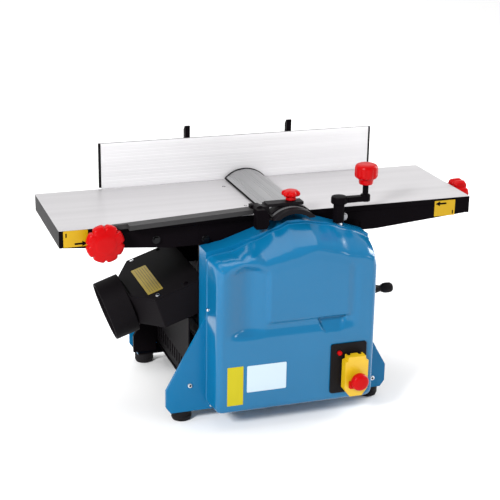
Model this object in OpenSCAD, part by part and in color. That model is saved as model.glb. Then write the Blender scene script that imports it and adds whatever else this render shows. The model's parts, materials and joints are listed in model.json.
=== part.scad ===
// Combined surface planer and thicknesser, in millimetres.
// X runs along the tables, Y from the operator to the fence, Z up from the floor.

/* [Tables] */
// Length over both tables
table_len = 737; // [724:1:760]
// Height of the planing surface above the floor
table_z = 350; // [346:1:360]
// Thickness of the table plates
table_t = 10; // [9:0.5:11]
// Depth of the rails at the outer ends, below the table top
rail_end = 30; // [27:1:33]
// Depth of the rails next to the frame, below the table top
rail_root = 45; // [42:1:48]
// Slope of the infeed ways in degrees
way_deg = 8; // [7:0.5:9]

/* [Cutter] */
// Planing width
work_w = 204; // [196:2:212]
// Cutter axis from the middle of the tables
cutter_x = 18; // [14:1:22]
// Radius of the knife tips
knife_r = 26; // [25:0.5:27]
// Radius of the cutter block
block_r = 24; // [23:0.5:24.5]
// Radius of the cutter shaft in its bearings
shaft_r = 6; // [5.5:0.25:6.5]
// Outer radius of the cutter bearings
bearing_r = 16; // [15:0.5:16.5]
// Radius of the feed rollers
roller_r = 16; // [15:0.5:16.5]
// Distance from the cutter to each feed roller
roller_gap = 52; // [50:1:54]

/* [Frame] */
// Thickness of the bearing plates
plate_t = 6; // [5:0.5:7]
// Depth of each side frame
side_depth = 38; // [36:1:42]
// Depth of the front cover
cover_depth = 57; // [50:1:62]
// Wall of the side frames and the cover
wall = 3; // [2.5:0.5:3.5]
// Middle of the frame from the middle of the tables
base_x = 12; // [10:1:14]
// Half width of the frame
panel_half = 145; // [143:1:148]
// Half width over the flared legs
leg_half = 202; // [196:1:208]
// Height of the flare's lower corner
knee_z = 62; // [56:1:68]
// Height of the feet
foot_h = 20; // [18:1:22]
// Radius of the feet
foot_r = 17.5; // [16:0.5:19]
// Foot spacing along the tables
foot_dx = 348; // [340:2:352]
// Radius of the bench bolt holes
bench_hole_r = 4.5; // [4:0.25:5]

/* [Drive] */
// Radius of the motor
motor_r = 50; // [46:1:51]
// Motor axis from the middle of the tables
motor_x = -55; // [-60:1:-50]
// Height of the motor axis
motor_z = 102; // [100:1:104]
// Radius of the motor pulley
motor_pulley_r = 44; // [38:1:46]
// Radius of the cutter pulley
cutter_pulley_r = 14; // [13:0.5:14.5]
// Running gap between a belt or chain and its wheels
belt_gap = 0.3; // [0.25:0.05:0.4]

/* [Thicknessing table] */
// Length of the thicknessing table
bed_len = 270; // [260:1:276]
// Height of the thicknessing table at rest
bed_z = 200; // [192:1:215]
// Thickest board
thick_max = 120; // [116:1:122]
// Thinnest board
thick_min = 5; // [5:0.5:8]
// Lift screw from the middle of the tables
lift_x = 109; // [107:1:112]
// Radius of the lift screw
screw_r = 7; // [6:0.5:7.5]
// Length of the crank
crank_r = 48; // [44:1:49]

/* [Fence and guard] */
// Length of the fence
fence_len = 514; // [490:2:530]
// Height of the fence above the table
fence_h = 82; // [76:1:90]
// Middle of the fence from the middle of the tables
fence_x = 8; // [4:1:12]
// Half width of the bridge guard
guard_half = 38; // [35:0.5:38]
// Height of the bridge guard's arch
guard_rise = 17; // [15:0.5:18]
// Length of the bridge guard
guard_len = 268; // [255:1:275]

/* [Dust chute] */
// Tilt of the chute in degrees
chute_tilt = 19; // [18:0.5:20]
// Depth of the hood
hood_t = 54; // [50:1:58]
// Outer radius of the dust port
port_r = 53; // [51:0.5:54]
// Length of the dust port
port_len = 48; // [42:1:52]

/* [Hidden] */
$fn = 64;
run = 0.05;
slide_gap = 0.3;

// widths from the middle out
yi = work_w/2 + 2;
yo = yi + plate_t;
yt = yo + side_depth;
yc = yt + cover_depth;
yd = yo + side_depth/2;

// lengths
x0 = base_x - panel_half;
x1 = base_x + panel_half;
xl = -table_len/2;
xr = table_len/2;
xcover0 = x0 + 1;
xcover1 = x1 - 1;
cover_in = 3;
leg_in = 6;
rear_half = leg_half - 7.5;
wing_t = 6;
foot_mid = 4;
foot_x = [foot_mid - foot_dx/2, foot_mid + foot_dx/2];

// heights
zc = table_z - knife_r;
zu = table_z - table_t;
z_cut = zc - knife_r;
roller_z = z_cut - 1 + roller_r;
z_base = foot_h + 28;
bed_low = z_cut - thick_max;
bed_high = z_cut - thick_min;
z_top = table_z - 9;

// infeed ways
way_x = cutter_x + 28;
way_z = zu - 3;
function way(x) = way_z - (x - way_x)*tan(way_deg);
lip = 16;
lip_gap = knife_r + 2;
boss_r = bearing_r + 3.5;
boss_y = yo + 12;
corner = boss_r + 6.5;
z_peak = zc + boss_r + 0.5 + wall;
z_rear = z_peak;

// drive planes
belt_y0 = yo + 16;
belt_y1 = yo + 32;
chain_y0 = yo + 18;
chain_y1 = yo + 23;
gear_y0 = yo + 24;
sprocket_r = 20;
feed_sprocket_r = 12;
feed_z = roller_z - 63;
chain_t = 5;
roller_x = [cutter_x - roller_gap, cutter_x + roller_gap];
pawl_x = cutter_x - 106;
pawl_z = z_cut + 22;
pawl_tip = 19;
pawl_edge = 8;

// lift
lug_x = -60;
lug_w = 16;
lug_t = 20;
crank_z = table_z + 14;
hub_z = z_top - 11;
bed_x0 = cutter_x - bed_len/2;
bed_x1 = cutter_x + bed_len/2;
lock_z = bed_z;

// fence
fence_y = yo + 1.5;
fence_t = 4.5;
pivot_y = fence_y + fence_t + 6;
pivot_z = table_z + 6;
post_x = [fence_x - 96, fence_x + 99];
post_w = 9;
post_rise = 21;

// guard
guard_z = table_z + 2;
guard_y1 = yo - 2;
guard_y0 = guard_y1 - guard_len;
cap_len = 14;
guard_rad = (guard_half*guard_half + guard_rise*guard_rise)/(2*guard_rise);
arm_x = -297;
arm_z = table_z - 22;
arm_y0 = yo + 3;
arm_y1 = yo + 9;
hinge_x = cutter_x - guard_half - 17;
hinge_z = table_z + 16;
bar_t = 8;
bar_y = yo + 22;
bar_lap = 40;
lug_back = 11;
hold_y0 = yo + 2;
hold_y1 = yo + 30;
hold_z = guard_z + guard_rise + 1.5;

// depth knob
knob_y = -30;
knob_z = table_z - 20;

// chute, in a frame tilted about the mouth's upper edge
mouth_x = x0 + 11;
mouth_z = table_z - 110.8;
hood_half = yi - 2;
hood_w0 = 90;
hood_w1 = 124;
neck_half = sqrt(port_r*port_r - hood_t*hood_t/4) - 2.5;
hood_lap = 12;
screw_in = 10;
function under(x) = mouth_z + (x - mouth_x)*tan(chute_tilt) - hood_t/cos(chute_tilt);
vent_x = x0 - 17;

// switch
sw_x = 112;
sw_z = foot_h + 64;
flap_w = 42;
flap_h = 73;
flap_t = 16;
flap_wall = 2.5;
hump_half = 16;
tongue_half = 11;
base_half = 15;
base_low = sw_z - 24;
base_up = sw_z + 24;
plate_y = yc + 3;
flap_y = plate_y + 3.5;
flap_top = sw_z + flap_h/2;
flap_pin_y = flap_y + 2.5;
flap_pin_z = flap_top - 5;
paddle_z = sw_z - 4;
paddle_out = 23;
start_z = sw_z + 17;

// frame at the middle of the bounding box, on the floor
knob_end = xr + 29;
paddle_end = flap_y + flap_t + paddle_out;
gland_end = yt + 14;
shift_x = (knob_end + xl)/2;
shift_y = (gland_end - paddle_end)/2;

module placed() {
  translate([-shift_x, -shift_y, 0]) children();
}

module box(xa, xb, ya, yb, za, zb) {
  translate([xa, ya, za]) cube([xb - xa, yb - ya, zb - za]);
}

module ycyl(x, z, r, ya, yb) {
  translate([x, ya, z]) rotate([-90, 0, 0]) cylinder(r = r, h = yb - ya);
}

module xcyl(y, z, r, xa, xb) {
  translate([xa, y, z]) rotate([0, 90, 0]) cylinder(r = r, h = xb - xa);
}

module zcyl(x, y, r, za, zb) {
  translate([x, y, za]) cylinder(r = r, h = zb - za);
}

module slab(pts, ya, yb) {
  translate([0, yb, 0]) rotate([90, 0, 0]) linear_extrude(yb - ya) polygon(pts);
}

module both() {
  children();
  mirror([0, 1, 0]) children();
}

// tables

module table_corners(xa, xb) {
  both() box(xa, xb, yi - 0.5, yo + 1, zu - 1, table_z + 1);
}

module outfeed_table() {
  color("silver") difference() {
    union() {
      box(xl, cutter_x - lip, -yo, yo, zu, table_z);
      box(xl, xl + 6, -yo, yo, table_z - rail_end, zu + 1);
    }
    ycyl(cutter_x, zc, lip_gap, -yo - 1, yo + 1);
    table_corners(cutter_x - corner, cutter_x);
  }
}

module infeed_table() {
  color("silver") difference() {
    union() {
      box(cutter_x + lip, xr, -yo, yo, zu, table_z);
      box(xr - 6, xr, -yo, yo, table_z - rail_end, zu + 1);
    }
    ycyl(cutter_x, zc, lip_gap, -yo - 1, yo + 1);
    table_corners(cutter_x, cutter_x + corner);
    xcyl(knob_y, knob_z, 5 + run, xr - 8, xr + 2);
  }
}

module outfeed_rails() {
  pts = [[xl + 6, zu], [xl + 6, table_z - rail_end], [x0 - 50, table_z - rail_root],
    [x0, table_z - rail_root], [x0, zu]];
  color("black") difference() {
    union() {
      both() slab(pts, yi, yo);
      ycyl(arm_x, arm_z, 10, -arm_y0 + run, -yo + 1);
    }
    ycyl(arm_x, arm_z, 5 + run, -arm_y0 - 1, -yi + 1);
  }
}

module infeed_rails() {
  pts = [[way_x + 4, zu], [way_x + 4, way(way_x + 4) + run], [x1 + 1.5, way(x1 + 1.5) + run],
    [x1 + 1.5, table_z - rail_root], [x1 + 30, table_z - rail_root],
    [xr - 6, table_z - rail_end], [xr - 6, zu]];
  color("black") both() slab(pts, yi, yo);
}

module hex_bolt(x, z) {
  translate([x, -yo, z]) rotate([90, 0, 0]) union() {
    cylinder(r = 7, h = 1.2);
    translate([0, 0, 1]) cylinder(r = 5.5, h = 4.2, $fn = 6);
  }
}

module rail_bolts() {
  color("silver") {
    hex_bolt(x0 - 74, table_z - 29);
    hex_bolt(x0 + 11, table_z - 36);
  }
}

module infeed_bolts() {
  color("silver") hex_bolt(x1 - 30.5, zu - 7.5);
}

module depth_nut_bar() {
  color("dimgray") difference() {
    box(x1 - 17, x1 - 5, -yi, yi, z_cut + 10, way_z - 3);
    box(x1 - 18, x1 - 4, knob_y - 5.5, knob_y + 5.5, knob_z - 10, way_z);
  }
}

module star(r, h, n) {
  union() {
    cylinder(r = r*0.78, h = h);
    for (i = [0:n - 1]) rotate([0, 0, i*360/n]) translate([r*0.78, 0, 0]) cylinder(r = r*0.22, h = h);
  }
}

module depth_knob() {
  color("red") translate([xr + 5, knob_y, knob_z]) rotate([0, 90, 0]) union() {
    linear_extrude(height = 24) polygon([for (i = [0:95]) (26 + 3*cos(30*i))*[cos(3.75*i), sin(3.75*i)]]);
    translate([0, 0, -4]) cylinder(r = 12.5, h = 5);
    translate([0, 0, -240]) cylinder(r = 5, h = 237);
  }
}

// frame

// height of a leg's sloping edge, and the outline of the leg wings
function hip(x) = knee_z + (leg_half - abs(x))*1.8;
function wing_right(h) = [[h - 8, foot_h], [h, foot_h + 11], [h, knee_z], [x1, hip(x1)]];
function wing_left(h) = [[x0, hip(x0)], [-h, knee_z], [-h, foot_h + 11], [8 - h, foot_h]];

module plate_face() {
  union() {
    polygon([[x0, z_base], [x1, z_base], [x1, way(x1)], [way_x - 2, way(way_x - 2)],
      [way_x - 2, zc + 6], [cutter_x - corner, zc + 6], [cutter_x - corner, zu], [x0, zu]]);
    translate([cutter_x, zc]) circle(r = boss_r);
  }
}

module leg_face() {
  polygon([[x0 + 1, z_base], [x0 + 1, hip(x0) - 8], [leg_in - leg_half, knee_z - 1],
    [leg_in - leg_half, foot_h + 9], [vent_x - 3, foot_h + 9], [vent_x - 3, z_base]]);
  polygon([[x1 - 1, z_base], [x1 - 1, hip(x1) - 8], [leg_half - leg_in, knee_z - 1],
    [leg_half - leg_in, foot_h + 9], [x1 + 5, foot_h + 9], [x1 + 5, z_base]]);
}

module lug_slot(x) {
  box(x - lug_w/2 - 1, x + lug_w/2 + 1, yi - 1, yo + 1, bed_low - 30, bed_high - 1);
}

module bearing_plate() {
  difference() {
    union() {
      translate([0, yo, 0]) rotate([90, 0, 0]) linear_extrude(plate_t) plate_face();
      ycyl(cutter_x, zc, boss_r, yo - 1, boss_y);
    }
    ycyl(cutter_x, zc, bearing_r, yi - 1, boss_y + 1);
    for (x = roller_x) ycyl(x, roller_z, 11, yi - 1, yo + 1);
    ycyl(pawl_x, pawl_z, 5, yi - 1, yo - 2);
    lug_slot(lug_x);
    lug_slot(lift_x);
  }
}

module front_bearing_plate() {
  color("black") difference() {
    mirror([0, 1, 0]) bearing_plate();
    ycyl(motor_x, motor_z, 20, -yo - 1, -yi + 1);
  }
}

module rear_bearing_plate() {
  color("black") union() {
    bearing_plate();
    translate([0, yo, 0]) rotate([90, 0, 0]) linear_extrude(plate_t) leg_face();
  }
}

module bottom_plate() {
  color("black") difference() {
    union() {
      box(vent_x - 2, x1 + 4, -yo, yo, z_base - 3, z_base);
      box(lift_x - 24, lift_x + 24, -yt + wall + 1, -yo + 1, z_base - 3, z_base);
      zcyl(lift_x, -yd, 13, z_base - 1, z_base + 12);
    }
    zcyl(lift_x, -yd, screw_r + run, z_base + 2, z_base + 13);
  }
}

module vent_panel() {
  top = under(vent_x) - 0.2;
  color("black") difference() {
    box(vent_x, vent_x + 3, -yi, yi, z_base, top);
    for (i = [-6:6]) box(vent_x - 1, vent_x + 4, i*15 - 3.5, i*15 + 3.5, z_base + 14, z_base + 36);
  }
}

function dome(w) = [[x1 - w, z_top - 30 - w], [cutter_x + 60, z_top - 3 - w], [cutter_x + 11, z_peak - w],
  [cutter_x - 10, z_peak - w], [cutter_x - 28, z_peak - 9 - w], [cutter_x - 113, z_top - 31 - w],
  [x0 + w, z_top - 37 - w]];
function flat_top(w) = [[x1 - w, z_rear - w], [x0 + w, z_rear - w]];

module bench_holes(s) {
  for (x = foot_x) zcyl(x, s*yd, bench_hole_r, -1, foot_h + 20);
}

module foot_flanges(ya, yb) {
  box(foot_x[0] - foot_r + 1, x0 + 1, ya, yb, foot_h, foot_h + wall);
  box(x1 - 1, foot_x[1] + foot_r - 1, ya, yb, foot_h, foot_h + wall);
}

module front_side_frame() {
  body = concat([[x1, foot_h]], dome(0), [[x0, foot_h]]);
  inner = concat([[x1 - wall, foot_h + wall]], dome(wall), [[x0 + wall, foot_h + wall]]);
  sheet = concat(wing_right(leg_half), dome(0), wing_left(leg_half));
  window = concat([[x1 - 7, foot_h + 14]], dome(7), [[x0 + 7, foot_h + 14]]);
  color("steelblue") difference() {
    union() {
      slab(body, -yt, -yo);
      slab(sheet, -yt, -yt + wing_t);
      foot_flanges(-yt, -yo);
    }
    slab(inner, -yt + wall, -yo + 1);
    slab(window, -yt - 1, -yt + wall + 1);
    bench_holes(-1);
    zcyl(lift_x, -yd, screw_r + 3, z_top - 60, z_top + 5);
    xcyl(-yd, lock_z, 5 + run, x1 - wall - 1, x1 + 1);
  }
}

module rear_side_frame() {
  body = concat([[x1, foot_h]], flat_top(0), [[x0, foot_h]]);
  inner = concat([[x1 - wall, foot_h + wall]], flat_top(wall), [[x0 + wall, foot_h + wall]]);
  sheet = concat(wing_right(rear_half), flat_top(0), wing_left(rear_half));
  color("steelblue") difference() {
    union() {
      slab(body, yo, yt);
      slab(sheet, yt - wing_t, yt);
      foot_flanges(yo, yt);
    }
    slab(inner, yo - 1, yt - wall);
    bench_holes(1);
    ycyl(x0 + 30, foot_h + 60, 4, yt - wall - 1, yt + 1);
  }
}

module cord_gland() {
  color("black") difference() {
    ycyl(x0 + 30, foot_h + 60, 9, yt, gland_end);
    ycyl(x0 + 30, foot_h + 60, 4, yt - 1, gland_end + 1);
  }
}

module leg_screws() {
  color("silver") {
    ycyl(-160, foot_h + 48, 4.5, -yt - 2.5, -yt);
    ycyl(178, foot_h + 18, 4.5, -yt - 2.5, -yt);
  }
}

module rubber_feet() {
  color("black") for (x = foot_x, s = [-1, 1]) difference() {
    union() {
      zcyl(x, s*yd, foot_r, 4, foot_h);
      translate([x, s*yd, 0]) cylinder(r1 = foot_r - 2, r2 = foot_r, h = 4);
    }
    zcyl(x, s*yd, bench_hole_r, -1, foot_h + 1);
  }
}

// cover in two steps, the front one drawn in
function cover_back(w) = [[xcover0 + w, foot_h + 10 + w], [xcover1 - w, foot_h + 10 + w],
  [xcover1 - w, z_top - 34 - w], [cutter_x + 60, z_top - 7 - w], [cutter_x + 20, z_top - w],
  [cutter_x - 8, z_top - w], [cutter_x - 28, z_top - 8 - w], [cutter_x - 110, z_top - 38 - w],
  [xcover0 + w, z_top - 43 - w]];
function cover_front(w) = [[xcover0 + cover_in + w, foot_h + 16 + w],
  [xcover1 - cover_in - w, foot_h + 16 + w], [xcover1 - cover_in - w, z_top - 43 - w],
  [cutter_x + 84, z_top - 40 - w], [cutter_x + 64, z_top - 30 - w], [cutter_x + 24, z_top - 19 - w],
  [cutter_x - 18, z_top - 31 - w], [cutter_x - 62, z_top - 40 - w], [cutter_x - 100, z_top - 33 - w],
  [xcover0 + cover_in + w, z_top - 44 - w]];

module front_cover() {
  step_y = -yt - cover_depth*0.65;
  color("steelblue") difference() {
    union() {
      slab(cover_back(0), step_y, -yt);
      slab(cover_front(0), -yc, step_y + 1);
    }
    slab(cover_back(wall), step_y + wall, -yt + 1);
    slab(cover_front(wall + 2), -yc + wall, step_y + wall + 1);
    box(sw_x - base_half, sw_x + base_half, -yc - 1, -yc + wall + 1, base_low, base_up);
    ycyl(87, flap_top + 2, 4 + slide_gap, -yc - 1, -yc + wall + 1);
  }
}

// cutter

module cutter_block() {
  color("gray") difference() {
    union() {
      ycyl(cutter_x, zc, block_r, -work_w/2, work_w/2);
      ycyl(cutter_x, zc, 10, -yi + 0.3, yi - 0.3);
      ycyl(cutter_x, zc, shaft_r, -belt_y1 - 2, gear_y0 + 6);
    }
    for (s = [-1, 1]) translate([cutter_x, 0, zc]) rotate([0, 90 + 90*s + 60, 0])
      box(-4, 4, -work_w/2 - 1, work_w/2 + 1, block_r - 14, block_r + 5);
  }
}

module planer_knives() {
  color("silver") for (s = [-1, 1]) translate([cutter_x, 0, zc]) rotate([0, 90 + 90*s + 60, 0])
    box(-4, -1, -work_w/2, work_w/2, block_r - 14, knife_r - 0.4);
}

module knife_gibs() {
  color("dimgray") for (s = [-1, 1]) translate([cutter_x, 0, zc]) rotate([0, 90 + 90*s + 60, 0])
    box(-1, 4, -work_w/2, work_w/2, block_r - 14, block_r - 1.5);
}

module shaft_bearings() {
  color("silver") both() {
    difference() {
      ycyl(cutter_x, zc, bearing_r, yi + 6, boss_y);
      ycyl(cutter_x, zc, shaft_r + run, yi, boss_y + 1);
    }
    for (x = roller_x) difference() {
      ycyl(x, roller_z, 11, yi, yo);
      ycyl(x, roller_z, 6 + run, yi - 1, yo + 1);
    }
  }
}

module groove_wheel(r, h) {
  difference() {
    cylinder(r = r, h = h);
    for (i = [0:3]) translate([0, 0, 2.2 + i*3.2]) difference() {
      cylinder(r = r + 1, h = 1.6);
      translate([0, 0, -1]) cylinder(r = r - 1.5, h = 4);
    }
  }
}

module cutter_pulley() {
  color("gray") translate([cutter_x, -belt_y0, zc]) rotate([90, 0, 0]) difference() {
    groove_wheel(cutter_pulley_r, belt_y1 - belt_y0);
    translate([0, 0, -1]) cylinder(r = shaft_r + run, h = 40);
  }
}

module motor_pulley() {
  color("gray") translate([motor_x, 0, motor_z]) rotate([90, 0, 0]) union() {
    translate([0, 0, belt_y0]) groove_wheel(motor_pulley_r, belt_y1 - belt_y0);
    translate([0, 0, yi - 10]) cylinder(r = 8, h = belt_y1 + 12 - yi);
  }
}

module motor_housing() {
  color("dimgray") difference() {
    union() {
      ycyl(motor_x, motor_z, motor_r, -yi, yi - 18);
      for (i = [0:11]) translate([motor_x, 0, motor_z]) rotate([0, i*30 + 15, 0])
        box(-2, 2, -yi + 12, yi - 40, motor_r - 2, motor_r + 1.2);
    }
    ycyl(motor_x, motor_z, 8 + run, -yi - 1, -yi + 14);
    for (i = [0:7]) translate([motor_x, 0, motor_z]) rotate([0, i*45, 0])
      ycyl(0, motor_r*0.6, 4, yi - 24, yi - 17);
  }
}

// loop of a belt round two wheels, in the XZ plane
function turn(a, b, ra, rb) = atan2(b[1] - a[1], b[0] - a[0]);
function spread(a, b, ra, rb) = acos((ra - rb)/norm(b - a));
function rim(p, r, t) = [p[0] + r*cos(t), p[1] + r*sin(t)];
module loop_face(a, b, ra, rb) {
  t = turn(a, b, ra, rb);
  s = spread(a, b, ra, rb);
  translate(a) circle(r = ra);
  translate(b) circle(r = rb);
  polygon([rim(a, ra, t + s), rim(a, ra, t - s), rim(b, rb, t - s), rim(b, rb, t + s)]);
}

// points of a loop, k facets on each wheel, pushed out so that no facet cuts the radius
function arc(p, r, ta, tb, k) = [for (i = [0:k])
  rim(p, r/cos((tb - ta)/k/2), ta + (tb - ta)*i/k)];
function loop_points(a, b, ra, rb, k) = let (t = turn(a, b, ra, rb), s = spread(a, b, ra, rb))
  concat(arc(a, ra, t + s, t + 360 - s, k), arc(b, rb, t - s, t + s, k));

module drive_belt() {
  a = [motor_x, motor_z];
  b = [cutter_x, zc];
  color("black") translate([0, -belt_y0 - 1.5, 0]) rotate([90, 0, 0])
    linear_extrude(belt_y1 - belt_y0 - 3) difference() {
      polygon(loop_points(a, b, motor_pulley_r + belt_gap + 3.5, cutter_pulley_r + belt_gap + 3.5, 28));
      polygon(loop_points(a, b, motor_pulley_r + belt_gap, cutter_pulley_r + belt_gap, 28));
    }
}

// feed drive at the rear

module sprocket(r, h) {
  difference() {
    cylinder(r = r, h = h);
    for (i = [0:11]) rotate([0, 0, i*30]) translate([r + 0.6, 0, -1]) cylinder(r = 2.2, h = h + 2);
  }
}

module feed_roller(x) {
  union() {
    ycyl(x, roller_z, roller_r, -work_w/2 + 2, work_w/2 - 2);
    ycyl(x, roller_z, 6, -yo - 2, chain_y1 + 3);
    translate([x, chain_y0, roller_z]) rotate([-90, 0, 0]) sprocket(sprocket_r, chain_y1 - chain_y0);
  }
}

module infeed_roller() {
  color("gray") feed_roller(roller_x[0]);
}

module outfeed_roller() {
  color("gray") feed_roller(roller_x[1]);
}

module feed_sprocket() {
  color("gray") union() {
    translate([cutter_x, chain_y0, feed_z]) rotate([-90, 0, 0])
      sprocket(feed_sprocket_r, chain_y1 - chain_y0);
    ycyl(cutter_x, feed_z, 5, chain_y0, gear_y0 + 6);
  }
}

module feed_gearbox() {
  color("dimgray") difference() {
    box(cutter_x - 28, cutter_x + 28, gear_y0, yt - wall, feed_z - 16, z_rear - 9);
    ycyl(cutter_x, feed_z, 5 + run, gear_y0 - 1, gear_y0 + 6.5);
    ycyl(cutter_x, zc, shaft_r + run, gear_y0 - 1, gear_y0 + 6.5);
  }
}

module chain_face(g) {
  a = [roller_x[0], roller_z];
  b = [roller_x[1], roller_z];
  c = [cutter_x, feed_z];
  r = sprocket_r + g;
  q = feed_sprocket_r + g;
  union() {
    loop_face(a, b, r, r);
    loop_face(a, c, r, q);
    loop_face(b, c, r, q);
    polygon([a, b, c]);
  }
}

module feed_chain() {
  color("dimgray") translate([0, chain_y1 - 0.5, 0]) rotate([90, 0, 0])
    linear_extrude(chain_y1 - chain_y0 - 1) difference() {
      chain_face(belt_gap + chain_t);
      chain_face(belt_gap);
    }
}

module pawl_rod() {
  color("silver") ycyl(pawl_x, pawl_z, 5, 2 - yo, yo - 2);
}

module kickback_pawls() {
  n = 12;
  pitch = (work_w - 2*pawl_edge)/(n - 1);
  pts = pawl_tip/19*[[-5, -7], [6, -6], [19, -19], [13, -20], [2, -11]];
  y0 = pawl_edge - work_w/2;
  color("gray") for (i = [0:n - 1]) translate([pawl_x, y0 + i*pitch, pawl_z]) difference() {
    union() {
      ycyl(0, 0, 9, -4, 4);
      slab(pts, -4, 4);
    }
    ycyl(0, 0, 5 + run, -5, 5);
  }
}

// thicknessing table and its lift

module lug(x, reach) {
  box(x - lug_w/2, x + lug_w/2, yi - 12, reach, bed_z - lug_t - 4, bed_z - 4);
}

module thickness_table() {
  color("silver") difference() {
    union() {
      box(bed_x0, bed_x1, -work_w/2, work_w/2, bed_z - 10, bed_z);
      for (y = [-60, 0, 60]) box(bed_x0 + 20, bed_x1 - 20, y - 4, y + 4, bed_z - 20, bed_z - 9);
      both() lug(lug_x, yo + 6);
      mirror([0, 1, 0]) lug(lift_x, yd);
      box(lift_x - 14, lift_x + 14, -yd - 14, -yo - 2, bed_z - lug_t - 4, bed_z - 4);
      lug(lift_x, yo + 6);
    }
    zcyl(lift_x, -yd, screw_r + 3, bed_z - 40, bed_z + 1);
  }
}

module lift_nut() {
  color("goldenrod") difference() {
    zcyl(lift_x, -yd, screw_r + 3, bed_z - lug_t - 6, bed_z - 4);
    zcyl(lift_x, -yd, screw_r + run, bed_z - lug_t - 7, bed_z);
  }
}

module lift_screw() {
  color("silver") zcyl(lift_x, -yd, screw_r, z_base + 2, crank_z + 6);
}

module crank_arm() {
  color("black") difference() {
    union() {
      zcyl(lift_x, -yd, screw_r + 2.5, hub_z, crank_z + 1);
      zcyl(lift_x, -yd, 14, crank_z, crank_z + 12);
      box(lift_x, lift_x + crank_r, -yd - 7, -yd + 7, crank_z, crank_z + 10);
      zcyl(lift_x + crank_r, -yd, 8, crank_z, crank_z + 12);
      zcyl(lift_x + crank_r, -yd, 5, crank_z + 11, crank_z + 62);
    }
    zcyl(lift_x, -yd, screw_r + run, hub_z - 1, crank_z + 6);
  }
}

module crank_knob() {
  color("red") translate([lift_x + crank_r, -yd, crank_z + 30]) difference() {
    union() {
      cylinder(r1 = 13, r2 = 19, h = 8);
      translate([0, 0, 8]) cylinder(r = 19, h = 22);
      translate([0, 0, 30]) cylinder(r1 = 19, r2 = 14, h = 6);
    }
    translate([0, 0, -1]) cylinder(r = 5 + run, h = 34.4);
    for (i = [0:9]) rotate([0, 0, i*36]) translate([21.5, 0, 6]) cylinder(r = 4, h = 22);
  }
}

module height_lock_knob() {
  color("black") translate([x1 + 4, -yd, lock_z]) rotate([0, 90, 0]) union() {
    translate([0, 0, 4 - panel_half*0.2]) cylinder(r = 5, h = panel_half*0.2 + 20);
    translate([0, 0, -2]) cylinder(r = 9, h = 8);
    translate([0, 0, 5]) cylinder(r1 = 12.5, r2 = 5.5, h = 28);
    translate([0, 0, 31]) cylinder(r1 = 5.5, r2 = 9.5, h = 6);
    translate([0, 0, 37]) cylinder(r = 9.5, h = 12);
    translate([0, 0, 49]) cylinder(r1 = 9.5, r2 = 6, h = 7);
  }
}

// fence

module fence_plate() {
  color("silver") box(fence_x - fence_len/2, fence_x + fence_len/2, fence_y, fence_y + fence_t,
    table_z + 1, table_z + fence_h);
}

module fence_end_caps() {
  color("black") for (x = [fence_x - fence_len/2 - 4, fence_x + fence_len/2])
    box(x, x + 4, fence_y - 0.5, fence_y + fence_t + 1, table_z + 1, table_z + fence_h);
}

module fence_posts() {
  y0 = fence_y + fence_t;
  z1 = table_z + fence_h + post_rise;
  pts = [[y0, pivot_z], [pivot_y + 5.5, pivot_z], [pivot_y + 5.5, z1 - 8], [y0 + 4, z1], [y0, z1]];
  color("black") for (x = post_x) difference() {
    union() {
      translate([x - post_w/2, 0, 0]) rotate([90, 0, 90]) linear_extrude(post_w) polygon(pts);
      xcyl(pivot_y, pivot_z, 5.5, x - post_w/2, x + post_w/2);
    }
    xcyl(pivot_y, pivot_z, 3 + run, x - post_w, x + post_w);
  }
}

module fence_brackets() {
  color("black") for (x = post_x, s = [-1, 1]) difference() {
    union() {
      box(x + s*8 - 2.5, x + s*8 + 2.5, pivot_y - 5, yt - 4, z_rear, pivot_z);
      xcyl(pivot_y, pivot_z, 5, x + s*8 - 2.5, x + s*8 + 2.5);
    }
    xcyl(pivot_y, pivot_z, 3, x + s*8 - 4, x + s*8 + 4);
    translate([x + s*8 - 5, pivot_y + 5, pivot_z - 4]) rotate([-35, 0, 0]) cube([10, 60, 30]);
  }
}

module fence_pins() {
  color("silver") for (x = post_x) xcyl(pivot_y, pivot_z, 3, x - 13, x + 13);
}

// bridge guard

module arch(ya, yb, r, t) {
  zcen = guard_z + guard_rise - guard_rad;
  difference() {
    intersection() {
      ycyl(cutter_x, zcen, r, ya, yb);
      box(cutter_x - guard_half, cutter_x + guard_half, ya - 1, yb + 1, guard_z, guard_z + 60);
    }
    ycyl(cutter_x, zcen, r - t, ya - 1, yb + 1);
  }
}

module guard() {
  color("silver") union() {
    arch(guard_y0 + cap_len, guard_y1 - 4, guard_rad, 2.5);
    for (s = [-1, 1]) box(cutter_x + s*(guard_half - 1.5) - 1.5, cutter_x + s*(guard_half - 1.5) + 1.5,
      guard_y0 + cap_len, guard_y1 - 4, guard_z, guard_z + 3.5);
  }
}

module guard_end_caps() {
  color("black") {
    arch(guard_y0, guard_y0 + cap_len, guard_rad, 8);
    arch(guard_y1 - 4, guard_y1, guard_rad, 8);
  }
}

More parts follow.
